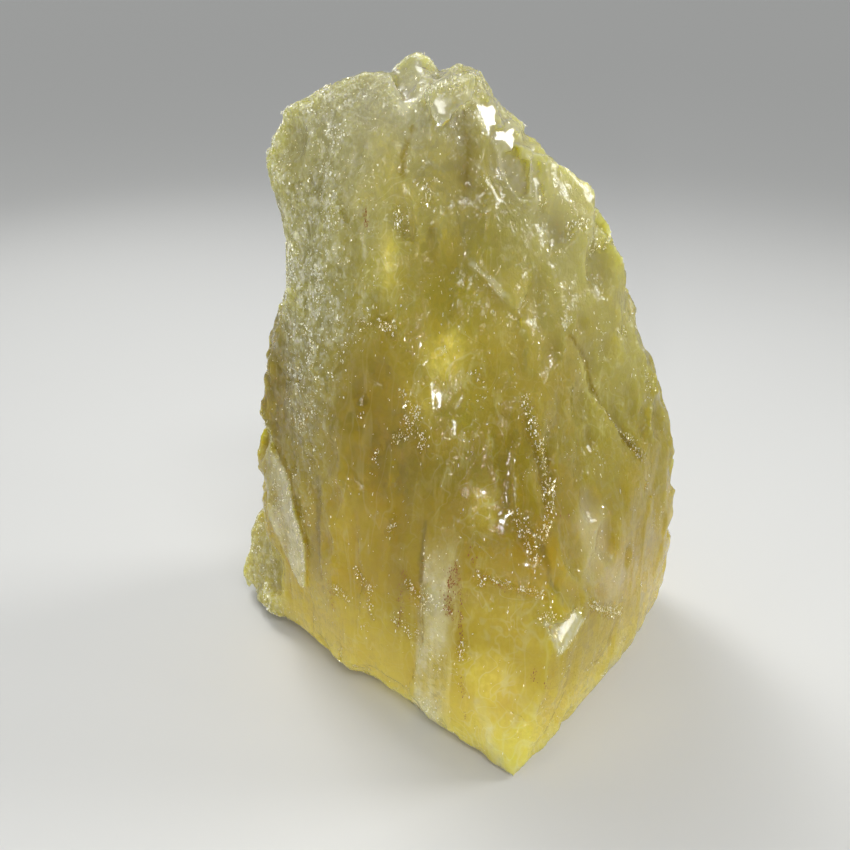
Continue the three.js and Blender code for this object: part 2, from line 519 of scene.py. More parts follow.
# The two sides of the frosted rib, then the steps left and right of it.
RIB_LEDGES = [
    (1.6, 12, 0.15, 13, [(-7.4, 64), (-8.1, 57.8), (-9.1, 29.1), (-11.8, 4)]),
    (0.7, 5, 0.3, 16, [(-0.9, 60), (0.2, 46), (0.6, 34), (1.8, 8)]),
    (1.6, 6, 0.15, 14, [(-35.1, 66), (-35.3, 50), (-35.8, 33)]),
    (1.1, 8, 0.3, 15, [(-25, 62), (-24, 40), (-26, 20)]),
    (0.9, 8, 0.3, 17, [(-20.5, 33), (-17, 47), (-15.4, 60), (-16, 78)]),
    (0.8, 7, 0.3, 18, [(8, 62), (9.5, 72), (7, 86), (8, 97)]),
    (0.8, 7, 0.5, 19, [(-1, 112), (-3.5, 104), (-8.5, 94), (-9, 84)]),
    (0.7, 7, 0.3, 20, [(27, 66), (29, 76), (27.5, 88)]),
]
# Hollows, each with its place as x and z, and its radius. All but the ripples beside the crack have their
# depth too.
SLOPE_HOLLOWS = [(6.4, 147.5, 3.5, 0.7), (10.5, 142.5, 3.2, 0.7), (12.4, 134.5, 4.0, 0.6), (20, 128, 8, 1.0)]
RIPPLES = [(35.5, 97, 8), (38.5, 90, 9), (41, 84, 7), (44, 78, 8), (47.5, 73, 6)]
SHALLOWS = [(36, 52, 26, 0.9), (48, 44, 22, 0.9), (-30, 34, 24, 0.8), (10, 26, 26, 0.8), (-22, 70, 30, 0.9)]


def grooves(stone, channels):
    """All the soft channels of a table."""
    for depth, width, corners in channels:
        groove(stone, corners, depth, width)


def ledges(stone, table):
    """All the ledges of a table."""
    for height, width, jag, seed, corners in table:
        ledge(stone, corners, height, width, jag, seed)


def front_breaks(stone):
    """The breaks that mark the front, in the order in which they cut into each other."""
    grooves(stone, CHANNELS)
    stone.shard(CREST_PLATE, 1.5, (-11.5, 152.5))
    stone.shard(CREST_WEDGE, 2.1, (-3, 151))
    for x, z, size, depth in SLOPE_HOLLOWS:
        at, out = stone.spot(x, z)
        stone.ball(at, out, size, depth, (1, 1, 1.4), 0.05, 1.6, at + (2, 0, 3), ragged=0.1, seed=int(z))
    ledges(stone, LEDGES)
    stone.shard(BLADE, 1.3, (-46, 43))
    ledges(stone, RIB_LEDGES)
    grooves(stone, TIP_CHANNELS)
    for x, z, size in RIPPLES:
        at, out = stone.spot(x, z)
        stone.ball(at, out + (0.3, 0, -0.1), size, 0.7, (1, 1, 1.5), 0.08, 1.8, at + (3, 0, 2), seed=int(x))
    for x, z, size, depth in SHALLOWS:
        at, out = stone.spot(x, z)
        stone.ball(at, out, size, depth, (0.7, 0.7, 1.7), 0, seed=int(z))


def swells(points):
    """How far the lump's sides are moved in, which is under 0, since they swell out before they are broken:
    both sides a little, the right slope's shoulder most, and the lobe at the foot."""
    x, _, z = points.T
    sides = smoothstep(14, 30, abs(x + 4))
    shoulder = smoothstep(13, 23, x + 0.62 * (z - 131)) * smoothstep(147, 137, z) * smoothstep(103, 124, z)
    lobe = smoothstep(-42, -54, x) * smoothstep(58, 44, z)
    return (-(0.9 * sides + 3.2 * shoulder + 1.5 * lobe) * smoothstep(0.5, 4, z)).astype(np.float32)


def clean_faces(stone):
    """Cuts the flat faces that shine."""
    for outline, out, low_at, _ in CLEAN_FACES:
        stone.cut(outline, out, low_at)


def steps(stone, skin, count, rng, side=-1):
    """Small steps all over the front (side -1) or the back (side 1): each starts at a random point and runs
    upright, more or less, for 6 to 24 millimetres in three runs."""
    turned = skin.normals()[:, 1] * side > 0.45
    upright = abs(skin.points[:, 2] - 76) < 68
    for x, _, z in skin.points[rng.choice(np.flatnonzero(turned & upright), count)]:
        runs = np.stack([rng.normal(0, 0.9, 3), rng.uniform(2, 8, 3) * rng.choice([-1, 1])], 1)
        corners = np.array([x, z]) + np.concatenate([[[0, 0]], np.cumsum(runs, 0)])
        corners[:, 1] = np.clip(corners[:, 1], 4, 148)
        height = rng.uniform(0.3, 0.9) * (1.6 if side > 0 else 1)
        ledge(stone, corners, height, rng.uniform(3, 8), 0.4, int(rng.integers(100)), side)


def break_up(points):
    """How far the skin is sunk by its relief: long soft swells all over, facets at the back and on the
    crest, and grains on the frosted left side."""
    x, y, z = points.T
    left = smoothstep(-20, -34, x + 5 * noise(points, 14.0, 90)) * smoothstep(20, 60, z)
    rough = np.maximum(smoothstep(-8, 12, y + 0.1 * z), smoothstep(118, 140, z))
    relief = 0.5 * rough_noise(points, np.array([13.0, 13.0, 36.0]), 11)
    relief += (0.35 + 0.65 * rough) * facets(points, (8.0, 8.0, 22.0), 0.07, 21)
    relief += (0.25 + 0.75 * rough) * facets(points, (3.6, 3.6, 9.0), 0.07, 31)
    relief += left * facets(points, (2.6, 2.6, 3.4), 0.2, 41)
    return (relief * (1 - 0.8 * smoothstep(140, 154, z))).astype(np.float32)


def folds(points):
    """How far each fold is rounded: fully on the body, and hardly at the crest, the tip and the lobe."""
    x, y, z = points.T
    thin = np.maximum(smoothstep(128, 142, z), smoothstep(-40, -48, x) * smoothstep(38, 28, z))
    return 1 - np.maximum(thin, 0.9 * smoothstep(-38, -46, y))


def break_stone():
    """Everything that broke or grew on the outside, from the largest to the finest."""
    stone = Stone(*joined_solid())
    stone.soften(18, folds)
    stone.whole = stone.field.copy()
    edges = Edges(stone.skin(), np.random.default_rng(7))
    crest = HIGH[2] - 26
    edges.scars(stone, 50, (18, 50), 0.04, 1.0, 1.3, crest, 0.04)
    edges.scars(stone, 40, (8, 16), 0.06, top=crest)
    edges.scars(stone, 24, (14, 34), 0.05, 0.45, 1.5, crest - 20, 0.05, where=edges.back)
    edges.scars(stone, 60, (7, 24), 0.03, 0.4, 1.5, crest - 14, 0.05, where=edges.flanks)
    stone.sink(swells, 6.0)
    front_breaks(stone)
    steps(stone, edges.skin, 46, np.random.default_rng(8))
    steps(stone, edges.skin, 50, np.random.default_rng(9), 1)
    stone.sink(break_up)
    edges.scars(stone, 110, (3, 9), 0.07, 0.5, 1.4, crest, where=edges.off_foot)
    edges.scars(stone, 90, (4, 13), 0.08, 0.35, 1.5, crest - 14, 0.03, where=edges.back)
    edges.scars(stone, 80, (4, 12), 0.08, top=HIGH[2] - 8)
    edges.scars(stone, 150, (1.2, 4), 0.2, top=HIGH[2] - 3)
    stone.renew_shards()
    clean_faces(stone)
    stone.keep_crest()
    skin = stone.skin()
    skin.smooth(1, 0.2)
    skin.points = np.clip(skin.points, LOW, HIGH)
    return stone, skin


stone, skin = break_stone()


def make_mesh(name, points, faces, smooth=True):
    """A mesh object in metres from points in millimetres, with its place in its mesh."""
    mesh = bpy.data.meshes.new(name)
    mesh.from_pydata(points * MM, [], faces.tolist())
    mesh.polygons.foreach_set("use_smooth", np.full(len(faces), smooth))
    mesh.update()
    made = bpy.data.objects.new(name, mesh)
    bpy.context.collection.objects.link(made)
    return made


def keep_value(made, name, values):
    """Stores one number for each point, which a material reads by name."""
    made.data.attributes.new(name, "FLOAT", "POINT").data.foreach_set("value", values.astype(np.float32))


def near_paths(points, paths, width, seed):
    """1 on the paths, fading to 0 at about width, and broken up along them by noise."""
    amount = np.zeros(len(points))
    for path in paths:
        away = along(points, path)[0] * (1 + 0.6 * noise(points, 2.6, seed))
        amount = np.maximum(amount, smoothstep(width, 0.35 * width, away))
    return amount


def front_path(stone, corners):
    """A path over the front of the skin, from its corners' x and z."""
    return np.array([stone.spot(x, z)[0] for x, z in corners])


def nicks(count):
    """Short cracked lines all over the skin: each starts at a random point and runs on, mostly upright, for
    a few millimetres, with one bend."""
    rng = np.random.default_rng(15)
    starts = skin.points[rng.choice(len(skin.points), count)]
    way = np.stack([0.5 * rng.normal(size=count), 0.2 * rng.normal(size=count), np.ones(count)], 1)
    way *= rng.uniform(1, 3.5, (count, 1))
    bend = starts + way
    last = bend + way + 0.6 * rng.normal(size=(count, 3))
    return np.stack([starts, bend, last], 1)


def blobs(points, spots):
    """Soft round patches that fade outwards as a bell does, each given as x, z, its width and height, and its
    strength. The strongest holds at each point."""
    amount = np.zeros(len(points))
    for x, z, wide, tall, strength in spots:
        away = ((points[:, 0] - x) / wide) ** 2 + ((points[:, 2] - z) / tall) ** 2
        amount = np.maximum(amount, strength * np.exp(-away))
    return amount


# Where the skin glitters, where its edges are bright, partly with painted highlight, and where it is
# creased, with painted shade: paths on the front, as x and z.
GLITTERING = [
    GLITTER_LEDGE,
    [(17.5, 80), (20, 73), (20.5, 66)],
    GLITTER_END,
    [(4.9, 51.7), (14.1, 49.3), (21, 48.7)],
    [(32.6, 39.8), (38, 33), (43.9, 27.4)],
    [(42.2, 71.3), (47.3, 65.8)],
    [(-12.4, 90.9), (-11.3, 83.2), (-14.9, 79.8)],
    [(-10, 88), (-9, 80)],
    [(-21.5, 105.3), (-18, 106), (-15, 105.3)],
    [(-13.8, 129.5), (-12.7, 125.6)],
    [(-7.9, 134.8), (-7.3, 131.8)],
    [(27.1, 125), (31.2, 118.1), (35.5, 119.2)],
    [(20, 43), (30, 41)],
    [(-24, 40), (-22, 38)],
    [(-12, 44), (-8, 40)],
    [(-31, 33), (-28, 31)],
    [(1.2, 33), (0.6, 30)],
    [(-15, 31), (-10, 27)],
    [(-7, 44), (-3, 42)],
    [(-6.5, 153.5), (-1, 154.5)],
]
BRIGHT_EDGES = [
    [(-16.2, 157), (-12.4, 148.8), (-8.5, 152.6)],
    WEDGE_FACE[:3],
    [(3.4, 151), (5.0, 145), (8.4, 139.6), (10.2, 134), (13.4, 130.6)],
    [(15.4, 139), (15.6, 131)],
    [(13.6, 111), (12.7, 109), (8.8, 113), (6.3, 116), (2.6, 119)],
    [(37.2, 79.0), (41.2, 73.3)],
    NOTCH[:3],
    [(20.5, 42), (29, 41)],
    BLADE_EDGE,
]
# Painted shade: dark lines along creases, steps and the crack.
PAINTED_SHADE_LINES = [
    CRACK[::-1],
    [(-35.1, 62), (-35.4, 50), (-35.8, 37)],
    [(-10.5, 146), (-12.5, 141), (-12.8, 137)],
    [(0.5, 149), (1.5, 140), (0.8, 131)],
    [(-7.6, 62), (-8.3, 55), (-8.8, 46)],
    [(19.2, 60), (21, 52), (24, 46)],
]
# Where the crystal is darker, partly its own darker tone and partly painted shade in grooves, under breaks
# and on the left edge, and where painted glow stands in for light let through it: x, z, width, height and
# strength.
DARK_TONE_AND_SHADE = [
    (2, 138, 5, 13, 0.8),
    (-7, 120, 5, 7, 0.5),
    (-22, 92, 8, 14, 0.5),
    (0, 80, 22, 18, 0.7),
    (24, 90, 8, 14, 0.7),
    (-50, 78, 9, 22, 1.0),
    (-46, 50, 7, 12, 0.7),
    (-15, 46, 4, 13, 0.6),
    (-36, 42, 3, 13, 0.6),
    (-20, 70, 6, 12, 0.4),
    (-57, 20, 11, 18, 0.55),
]
# Painted glow: spots painted brighter yellow, as if lit from inside.
PAINTED_GLOW_SPOTS = [
    (-17, 119, 2.5, 6, 0.9),
    (-15, 136, 6, 12, 0.35),
    (-4, 100, 4, 5, 1.0),
    (-10, 90, 4, 5, 0.5),
    (5, 68, 3, 6, 0.6),
    (-27, 56, 6, 12, 0.35),
    (-28, 28, 20, 10, 0.2),
    (9, 26, 8, 8, 0.8),
    (12, 8, 14, 16, 0.7),
    (15, 42, 12, 12, 0.4),
    (-12, 2, 20, 6, 0.8),
    (35, 12, 14, 8, 0.4),
]


def on_lines(points, lines, width, seed):
    """1 on the lines of a table, fading to 0 at about width."""
    return near_paths(points, [front_path(stone, line) for line in lines], width, seed)


def rib_and_blade(points, swirl):
    """Where the frosted rib that climbs from the foot is, and the blade in front of the lobe, from 0 to 1."""
    x, y, z = points.T
    across = x - (-8.0 - 2.6 * (62 - z) / 50)
    rib = smoothstep(-0.5, 0.3, across) * smoothstep(9.5, 4.5, across + 1.2 * swirl)
    rib *= smoothstep(66, 46, z + 4 * swirl)
    rib *= y < -10
    blade = smoothstep(0.5, -0.3, stone.past_sides(points, BLADE)) * (y < 5)
    return rib, blade


def frosting(points, swirl, rib, blade):
    """Where the skin is frosted, from 0 to 1: the upper left side, but for a clear patch at its top, then
    the crest, the rib, the blade, the lobe and parts of the back."""
    x, y, z = points.T
    border = x + 4 * swirl - 13 * smoothstep(60, 120, z)
    frost = smoothstep(-29, -44, border) * (0.35 + 0.65 * smoothstep(50, 110, z + 4 * swirl))
    frost *= smoothstep(28, 52, z)
    frost = np.maximum(frost, 0.36 * smoothstep(138, 152, z + 4 * swirl))
    frost *= 1 - 0.8 * smoothstep(-40, -46, x) * smoothstep(112, 96, z)
    frost *= 1 - blobs(points, [(-36.5, 139, 4.5, 8, 0.7)])
    patchy = 0.7 + 0.3 * noise(points, (5.0, 5.0, 9.0), 92)
    frost = np.maximum(frost, 0.35 * patchy * rib)
    frost = np.maximum(frost, 0.3 * blade)
    frost = np.maximum(frost, 0.55 * smoothstep(-48, -54, x + 2 * swirl) * smoothstep(38, 26, z))
    broad = smoothstep(-0.1, 0.5, swirl + 0.5 * noise(points, 30.0, 95))
    return np.maximum(frost, 0.5 * broad * smoothstep(0, 20, y))


def whitening(points, swirl, rib, blade, rims):
    """Where the skin is whitish, from 0 to 1: its sharp edges, whitened by bruising, and its bright ones,
    whose whiteness is partly painted highlight, a brushed strip left of the tip, the rib and the blade, both
    mottled, and the waxy hollow low on the right."""
    z = points[:, 2]
    sharp = sharpness(skin, 4) * (1 + 0.6 * noise(points, 5.0, 93))
    edge = np.maximum(0.6 * smoothstep(0.12, 0.34, sharp) * (z > 1.5), rims)
    brushed = 0.55 + 0.45 * noise(points, (0.9, 0.9, 12.0), 99)
    edge = np.maximum(edge, 0.5 * brushed * on_lines(points, [[(5, 18), (8, 9), (11.5, 1)]], 2.4, 73))
    mottled = 0.5 + 0.6 * noise(points, (5.0, 5.0, 8.0), 97) + 0.3 * noise(points, (1.6, 1.6, 3.0), 98)
    edge = np.maximum(edge, np.clip(mottled, 0.1, 1) * np.maximum(0.75 * rib, blade))
    waxy = along(points, front_path(stone, [(31, 58), (34, 48), (40, 38)]))[0]
    return np.maximum(edge, 0.55 * smoothstep(9, 2, waxy + 3 * swirl))


def clean_up(points, frost, edge):
    """Takes the frost off the faces that shine and paints them whitish with faint white stripes, a painted
    sheen. Gives back how glassy the skin is, from 0 to 1."""
    x, y, z = points.T
    stripes = 0.5 + 0.5 * np.sin(2.6 * (x - 0.7 * z) + 2 * noise(points, 4.0, 96))
    glassy = np.zeros(len(points))
    faces = [(corners, strength, 1.0) for corners, _, _, strength in CLEAN_FACES]
    for corners, strength, shine in [*faces, (WEDGE_FACE, 0.3, 0.5), (CREST_PLATE, 0.15, 0.5)]:
        past = stone.past_sides(points, corners)
        glassy = np.maximum(glassy, shine * smoothstep(1.0, 0.0, past) * (y < 12))
        inside = smoothstep(0.5, -0.3, past) * (y < 12)
        frost *= 1 - inside
        # Painted sheen: whitish stripes on the faces that shine.
        np.maximum(edge, strength * (0.5 + stripes) * inside, out=edge)
    return glassy


def keep_masks(made):
    """Stores where the skin is frosted, glittering, whitish (partly painted highlight), pale, darker (partly
    painted shade), painted to glow, and glassy, from 0 to 1 at each point, and the drift of its cloudiness."""
    points = skin.points
    x, _, z = points.T
    swirl = noise(points, (9.0, 9.0, 20.0), 90) + 0.6 * noise(points, (3.5, 3.5, 7.0), 91)
    rib, blade = rib_and_blade(points, swirl)
    frost = frosting(points, swirl, rib, blade)
    # Whitish rims along shards, slope, spear, notch and blade: partly whitened edges, partly painted
    # highlight.
    rims = on_lines(points, BRIGHT_EDGES, 0.8, 73)
    edge = whitening(points, swirl, rib, blade, rims)
    pale = smoothstep(8, 40, x + 6 * swirl + 0.25 * np.clip(z - 60, 0, 99)) * smoothstep(20, 60, z)
    pale *= 0.74 + 0.26 * smoothstep(90, 115, z)
    # Painted shade along creases, steps and the crack, which also takes the whitening off them.
    dark = on_lines(points, PAINTED_SHADE_LINES, 1.0, 72)
    edge *= 1 - dark
    soft = points + 2.0 * swirl[:, None]
    masks = {
        "glassy": clean_up(points, frost, edge),
        "frost": frost,
        "edge": edge,
        "rims": rims,
        "glint": np.maximum(on_lines(points, GLITTERING, 2.0, 71), near_paths(points, nicks(70), 0.9, 74)),
        "pale": np.maximum(pale, 0.8 * smoothstep(-46, -52, x) * smoothstep(34, 20, z)),
        # Darker: partly the crystal's own tone, partly painted shade in grooves, under breaks and along
        # creases.
        "deep": np.maximum(blobs(soft, DARK_TONE_AND_SHADE), 1.2 * dark),
        # Painted glow: brighter yellow where light would get through the crystal.
        "glow": blobs(soft, PAINTED_GLOW_SPOTS),
        "patches": 0.5 + 0.5 * rough_noise(points, (24.0, 24.0, 44.0), 94, 3) / 1.3,
    }
    for name, values in masks.items():
        keep_value(made, name, values)
    return masks


citrine = make_mesh("citrine_skin", skin.points, skin.quads)
citrine.data.set_sharp_from_angle(angle=math.radians(30))
masks = keep_masks(citrine)
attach(citrine, "root")
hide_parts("citrine")

# ---------------------------------------------------------------- materials


class Value:
    """A number, colour or vector in a material's nodes. Sums and products of numbers add their Math nodes."""

    def __init__(self, finish, socket):
        self.finish = finish
        self.socket = socket

    def math(self, operation, *values):
        return self.finish.node("ShaderNodeMath", {"operation": operation}, dict(enumerate(values)))

    def __add__(self, other):
        return self.math("ADD", self, other)

    __radd__ = __add__

    def __mul__(self, other):
        return self.math("MULTIPLY", self, other)

    __rmul__ = __mul__

    def __sub__(self, other):
        return self.math("SUBTRACT", self, other)

    def __rsub__(self, other):
        return self.math("SUBTRACT", other, self)

    def limited(self):
        """No less than 0 and no more than 1."""
        return self.finish.node("ShaderNodeClamp", {}, {"Value": self})


class Finish:
    """One material, built node by node."""

    def __init__(self, name):
        self.material = bpy.data.materials.new(name)
        self.material.use_nodes = True
        self.nodes = self.material.node_tree.nodes
        self.links = self.material.node_tree.links
        self.nodes.clear()
        self.output = self.nodes.new("ShaderNodeOutputMaterial")

    def node(self, kind, settings, inputs, output=0):
        """Adds a node: its settings first, then its sockets' values or links. Gives back its output, or
        several of them if output is a list."""
        made = self.nodes.new(kind)
        for name, value in settings.items():
            if name == "stops":
                self.set_stops(made.color_ramp, value)
            else:
                setattr(made, name, value)
        for name, value in inputs.items():
            if isinstance(value, Value):
                self.links.new(value.socket, made.inputs[name])
            else:
                made.inputs[name].default_value = value
        if isinstance(output, list):
            return [Value(self, made.outputs[each]) for each in output]
        return Value(self, made.outputs[output])

    def set_stops(self, ramp, stops):
        for _ in range(len(stops) - 2):
            ramp.elements.new(0.5)
        for element, (position, colour) in zip(ramp.elements, stops):
            element.position = position
            element.color = (*colour, 1)

    def principled(self, sockets):
        return self.node("ShaderNodeBsdfPrincipled", {}, sockets)

    def ramp(self, share, stops):
        """The colour at share along a ramp's stops."""
        return self.node("ShaderNodeValToRGB", {"stops": stops}, {"Fac": share})

    def vector(self, operation, sockets, output=0):
        return self.node("ShaderNodeVectorMath", {"operation": operation}, sockets, output)

    def blend(self, share, first, second):
        """first where share is 0 and second where it is 1, as colours."""
        return self.node("ShaderNodeMix", {"data_type": "RGBA"}, {0: share, 6: first, 7: second}, 2)

    def place(self, scale=(1, 1, 1), turn=(0, 0, 0)):
        """The point's own place in metres, scaled and turned."""
        coordinates = self.node("ShaderNodeTexCoord", {}, {}, 3)
        return self.node("ShaderNodeMapping", {}, {"Vector": coordinates, "Scale": scale, "Rotation": turn})

    def height(self):
        """0 at the foot of the lump, 1 at its crest."""
        return self.node("ShaderNodeSeparateXYZ", {}, {"Vector": self.place((1, 1, 1 / (HEIGHT * MM)))}, 2)

    def noise(self, scale, turn=(0, 0, 0), detail=3.0, roughness=0.55, distortion=0.0):
        """Noise from about 0.3 to 0.7, with its waves scale to the metre along each axis."""
        sockets = {"Scale": 1.0, "Detail": detail, "Roughness": roughness, "Distortion": distortion}
        return self.node("ShaderNodeTexNoise", {}, {"Vector": self.place(scale, turn), **sockets})

    def wisps(self, scale, turn, sharp, distortion=2.0):
        """Thin wandering lines: 1 where noise is at its middle, and 0 a little off it."""
        off = self.noise(scale, turn, 1.0, 0.5, distortion) - 0.5
        return (1 - sharp * off.math("ABSOLUTE", off)).limited()

    def facets(self, count, slope):
        """Height of flat facets, count to the metre, that each lean a random way by up to half the slope:
        the way from the facet's middle, times its own random lean."""
        scaled = self.vector("SCALE", {0: self.place(), "Scale": float(count)})
        chance, middle = self.node(
            "ShaderNodeTexVoronoi", {}, {"Vector": scaled, "Scale": 1.0, "Randomness": 1.0}, [1, 2]
        )
        away = self.vector("SUBTRACT", {0: scaled, 1: middle})
        lean = self.vector("SUBTRACT", {0: chance, 1: (0.5, 0.5, 0.5)})
        height = self.vector("DOT_PRODUCT", {0: away, 1: lean}, 1)
        return height * (slope * (1 / count))

    def attribute(self, name):
        return self.node("ShaderNodeAttribute", {"attribute_name": name}, {}, 2)

    def finish(self, surface, volume=None):
        self.links.new(surface.socket, self.output.inputs["Surface"])
        if volume is not None:
            self.links.new(volume.socket, self.output.inputs["Volume"])
        return self.material


QUARTZ_IOR = 1.544
# From the foot to the crest: bright honey, deep olive, straw, and a pale grey-green.
GLASS_TINTS = [
    (0.0, (0.99, 0.86, 0.10)),
    (0.25, (0.96, 0.80, 0.06)),
    (0.55, (0.90, 0.78, 0.07)),
    (0.78, (0.90, 0.86, 0.38)),
    (1.0, (0.92, 0.93, 0.78)),
]
# From the foot to the crest. The brightness of the honey at the foot is painted light, let through the thin
# foot.
CLOUD_TINTS = [
    (0.0, (0.92, 0.73, 0.14)),
    (0.22, (0.58, 0.425, 0.003)),
    (0.50, (0.37, 0.295, 0.001)),
    (0.72, (0.46, 0.41, 0.04)),
    (0.88, (0.53, 0.49, 0.18)),
    (1.0, (0.54, 0.52, 0.33)),
]
# The cloudy quartz's other tints: where it is pale, low down and high up, where it is darker, partly as
# painted shade, where it gets painted glow, where it is frosted, and those of its sugary grains, its streaks,
# its healed cracks and its edges, whose whiteness is partly painted highlight.
PALE_LOW = (0.46, 0.41, 0.08, 1)
PALE_HIGH = (0.66, 0.62, 0.32, 1)
DARK_TONE_AND_SHADE_TINT = (0.30, 0.23, 0.002, 1)
PAINTED_GLOW_TINT = (0.97, 0.82, 0.13, 1)
FROST_TINT = (0.44, 0.41, 0.19, 1)
SUGAR_TINT = (0.84, 0.82, 0.62, 1)
STREAK_TINT = (0.88, 0.84, 0.40, 1)
FEATHER_TINT = (0.98, 0.93, 0.50, 1)
EDGE_TINT = (0.93, 0.91, 0.66, 1)
# What is left of light after a hundredth of a metre of clear quartz.
CLEAR_COLOUR = (0.98, 0.90, 0.08, 1)


def quartz():
    """Clear quartz that bends light and takes out blue with depth, mixed with a cloudy kind that scatters
    light under its skin. The masks on the skin's points say where it is frosted, glittering or pale, where it
    is darker, partly with painted shade, and where it gets painted glow."""
    make = Finish("quartz")
    names = ("frost", "glint", "edge", "pale", "deep", "glow", "patches", "glassy")
    frost, glint, edge, pale, deep, glow, patches, glassy = map(make.attribute, names)
    level = (make.height() + 0.18 * (patches - 0.5)).limited()

    glass_tint = make.ramp(level, GLASS_TINTS)
    cloud_tint = make.ramp(level, CLOUD_TINTS)
    # Fibres: thin pale streaks up the crystal, only in some patches.
    fibres = make.noise((420, 420, 26), (math.radians(3), math.radians(8), 0), 3.0, 0.64)
    streaks = (6 * (fibres - 0.55)).limited() * (3 * (patches - 0.46)).limited()
    # Feathers: healed cracks, seen edge on as thin curved lines, some steep and some lying across.
    steep = make.wisps((230, 230, 40), (0, math.radians(-9), 0), 24, 0.6) * (4 * (0.62 - patches)).limited()
    lying = make.wisps((170, 170, 130), (math.radians(20), 0, math.radians(30)), 26, 1.2)
    feathers = (steep + lying * (4 * (patches - 0.46) + 2 * glow).limited()).limited()
    grains = make.noise((1500, 1500, 1100), detail=1.0)
    pale_tint = make.blend((3 * (level - 0.5)).limited(), PALE_LOW, PALE_HIGH)
    cloud_tint = make.blend((pale * (0.3 + 0.6 * patches)).limited(), cloud_tint, pale_tint)
    # Darker tint: partly the crystal's own tone, partly painted shade.
    cloud_tint = make.blend((0.75 * deep).limited(), cloud_tint, DARK_TONE_AND_SHADE_TINT)
    clumps = (6 * (make.noise((700, 700, 480), detail=3.0) - 0.46)).limited()
    # Painted glow: bright yellow for light let through and thrown back inside. It also brightens the healed
    # cracks.
    cloud_tint = make.blend((glow * (0.55 + 0.4 * clumps)).limited(), cloud_tint, PAINTED_GLOW_TINT)
    cloud_tint = make.blend((0.7 * frost).limited(), cloud_tint, FROST_TINT)
    cloud_tint = make.blend((frost * clumps * (1.8 * grains - 0.2)).limited(), cloud_tint, SUGAR_TINT)
    cloud_tint = make.blend(0.25 * streaks, cloud_tint, STREAK_TINT)
    cloud_tint = make.blend(feathers * (0.26 * fibres + 0.3 * glow), cloud_tint, FEATHER_TINT)
    # Whitish edges: bruised and frosted, and partly painted highlight on bright rims and faces that shine.
    cloud_tint = make.blend((0.6 * edge).limited(), cloud_tint, EDGE_TINT)

    relief = 0.0004 * fibres + (0.0002 + 0.0010 * frost + 0.0012 * glint) * grains
    facets = make.facets(240, 0.16 + 0.4 * frost) + make.facets(650, 0.30 + 2.0 * frost + 1.6 * glint)
    relief = (relief + facets) * (1 - 0.88 * glassy)
    bump = make.node("ShaderNodeBump", {}, {"Strength": 1.0, "Distance": 1.0, "Height": relief})
    satin = (0.07 + 0.18 * frost + 0.09 * pale + 0.06 * streaks) * (1 - 0.6 * glassy)

    clear = make.principled(
        {"Base Color": glass_tint, "Roughness": 0.12, "IOR": QUARTZ_IOR, "Transmission Weight": 1.0}
    )
    cloudy = make.principled(
        {
            "Base Color": cloud_tint,
            "Roughness": satin,
            "IOR": QUARTZ_IOR,
            "Subsurface Weight": 1.0,
            "Subsurface Radius": (0.017, 0.017, 0.004),
            "Subsurface Scale": 1.0,
            "Specular IOR Level": 0.5,
            "Normal": bump,
        }
    )
    # The painted glow also makes the crystal cloudier.
    share = 0.62 + 0.4 * (patches - 0.5) + 0.1 * streaks + 0.3 * frost + 0.1 * pale + 0.15 * glow
    share = share + 0.15 * (1 - 3 * level).limited()
    mixed = make.node("ShaderNodeMixShader", {}, {0: share.limited(), 1: clear, 2: cloudy})
    absorption = make.node("ShaderNodeVolumeAbsorption", {}, {"Color": CLEAR_COLOUR, "Density": 100.0})
    return make.finish(mixed, absorption)


citrine.data.materials.append(quartz())

# ---------------------------------------------------------------- what is sealed in the crystal


# From the foot to the crest: honey, straw, cream and white.
VEIL_TINTS = [
    (0.0, (0.98, 0.84, 0.22)),
    (0.5, (0.92, 0.82, 0.26)),
    (0.8, (0.94, 0.92, 0.62)),
    (1.0, (0.95, 0.95, 0.84)),
]


def depth_inside(places):
    """How many millimetres each place is under the skin, up to ten."""
    cells = np.clip(stone.cells(places), 0, np.array(stone.field.shape) - 1)
    return -stone.field[tuple(cells.T)]


def flakes(name, places, facing, sizes, rng, stretch=1.0, buried=True):
    """One small four-cornered flake at each place, square to its own direction. Its corners are at uneven
    angles and reaches round it, so no two are alike, and it is stretched up the crystal. None that is
    buried is nearer to the skin than its own size and a millimetre."""
    facing = facing / np.linalg.norm(facing, axis=1)[:, None]
    up = np.cross(facing, np.cross(np.tile([0.08, 0.0, 1.0], (len(places), 1)), facing))
    up /= np.maximum(np.linalg.norm(up, axis=1), 1e-6)[:, None]
    side = np.cross(up, facing)
    angles = (np.arange(4) + rng.uniform(0.1, 0.9, (len(places), 4))) * np.pi / 2
    reach = sizes[:, None] * rng.uniform(0.5, 1.0, (len(places), 4))
    corners = places[:, None] + side[:, None] * (reach * np.cos(angles))[..., None]
    corners += up[:, None] * (stretch * reach * np.sin(angles))[..., None]
    if buried:
        corners = corners[depth_inside(places) > 1.0 + sizes * stretch]
    corners = corners.reshape(-1, 3)
    made = make_mesh(name, corners, np.arange(len(corners)).reshape(-1, 4), False)
    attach(made, "root")
    return made


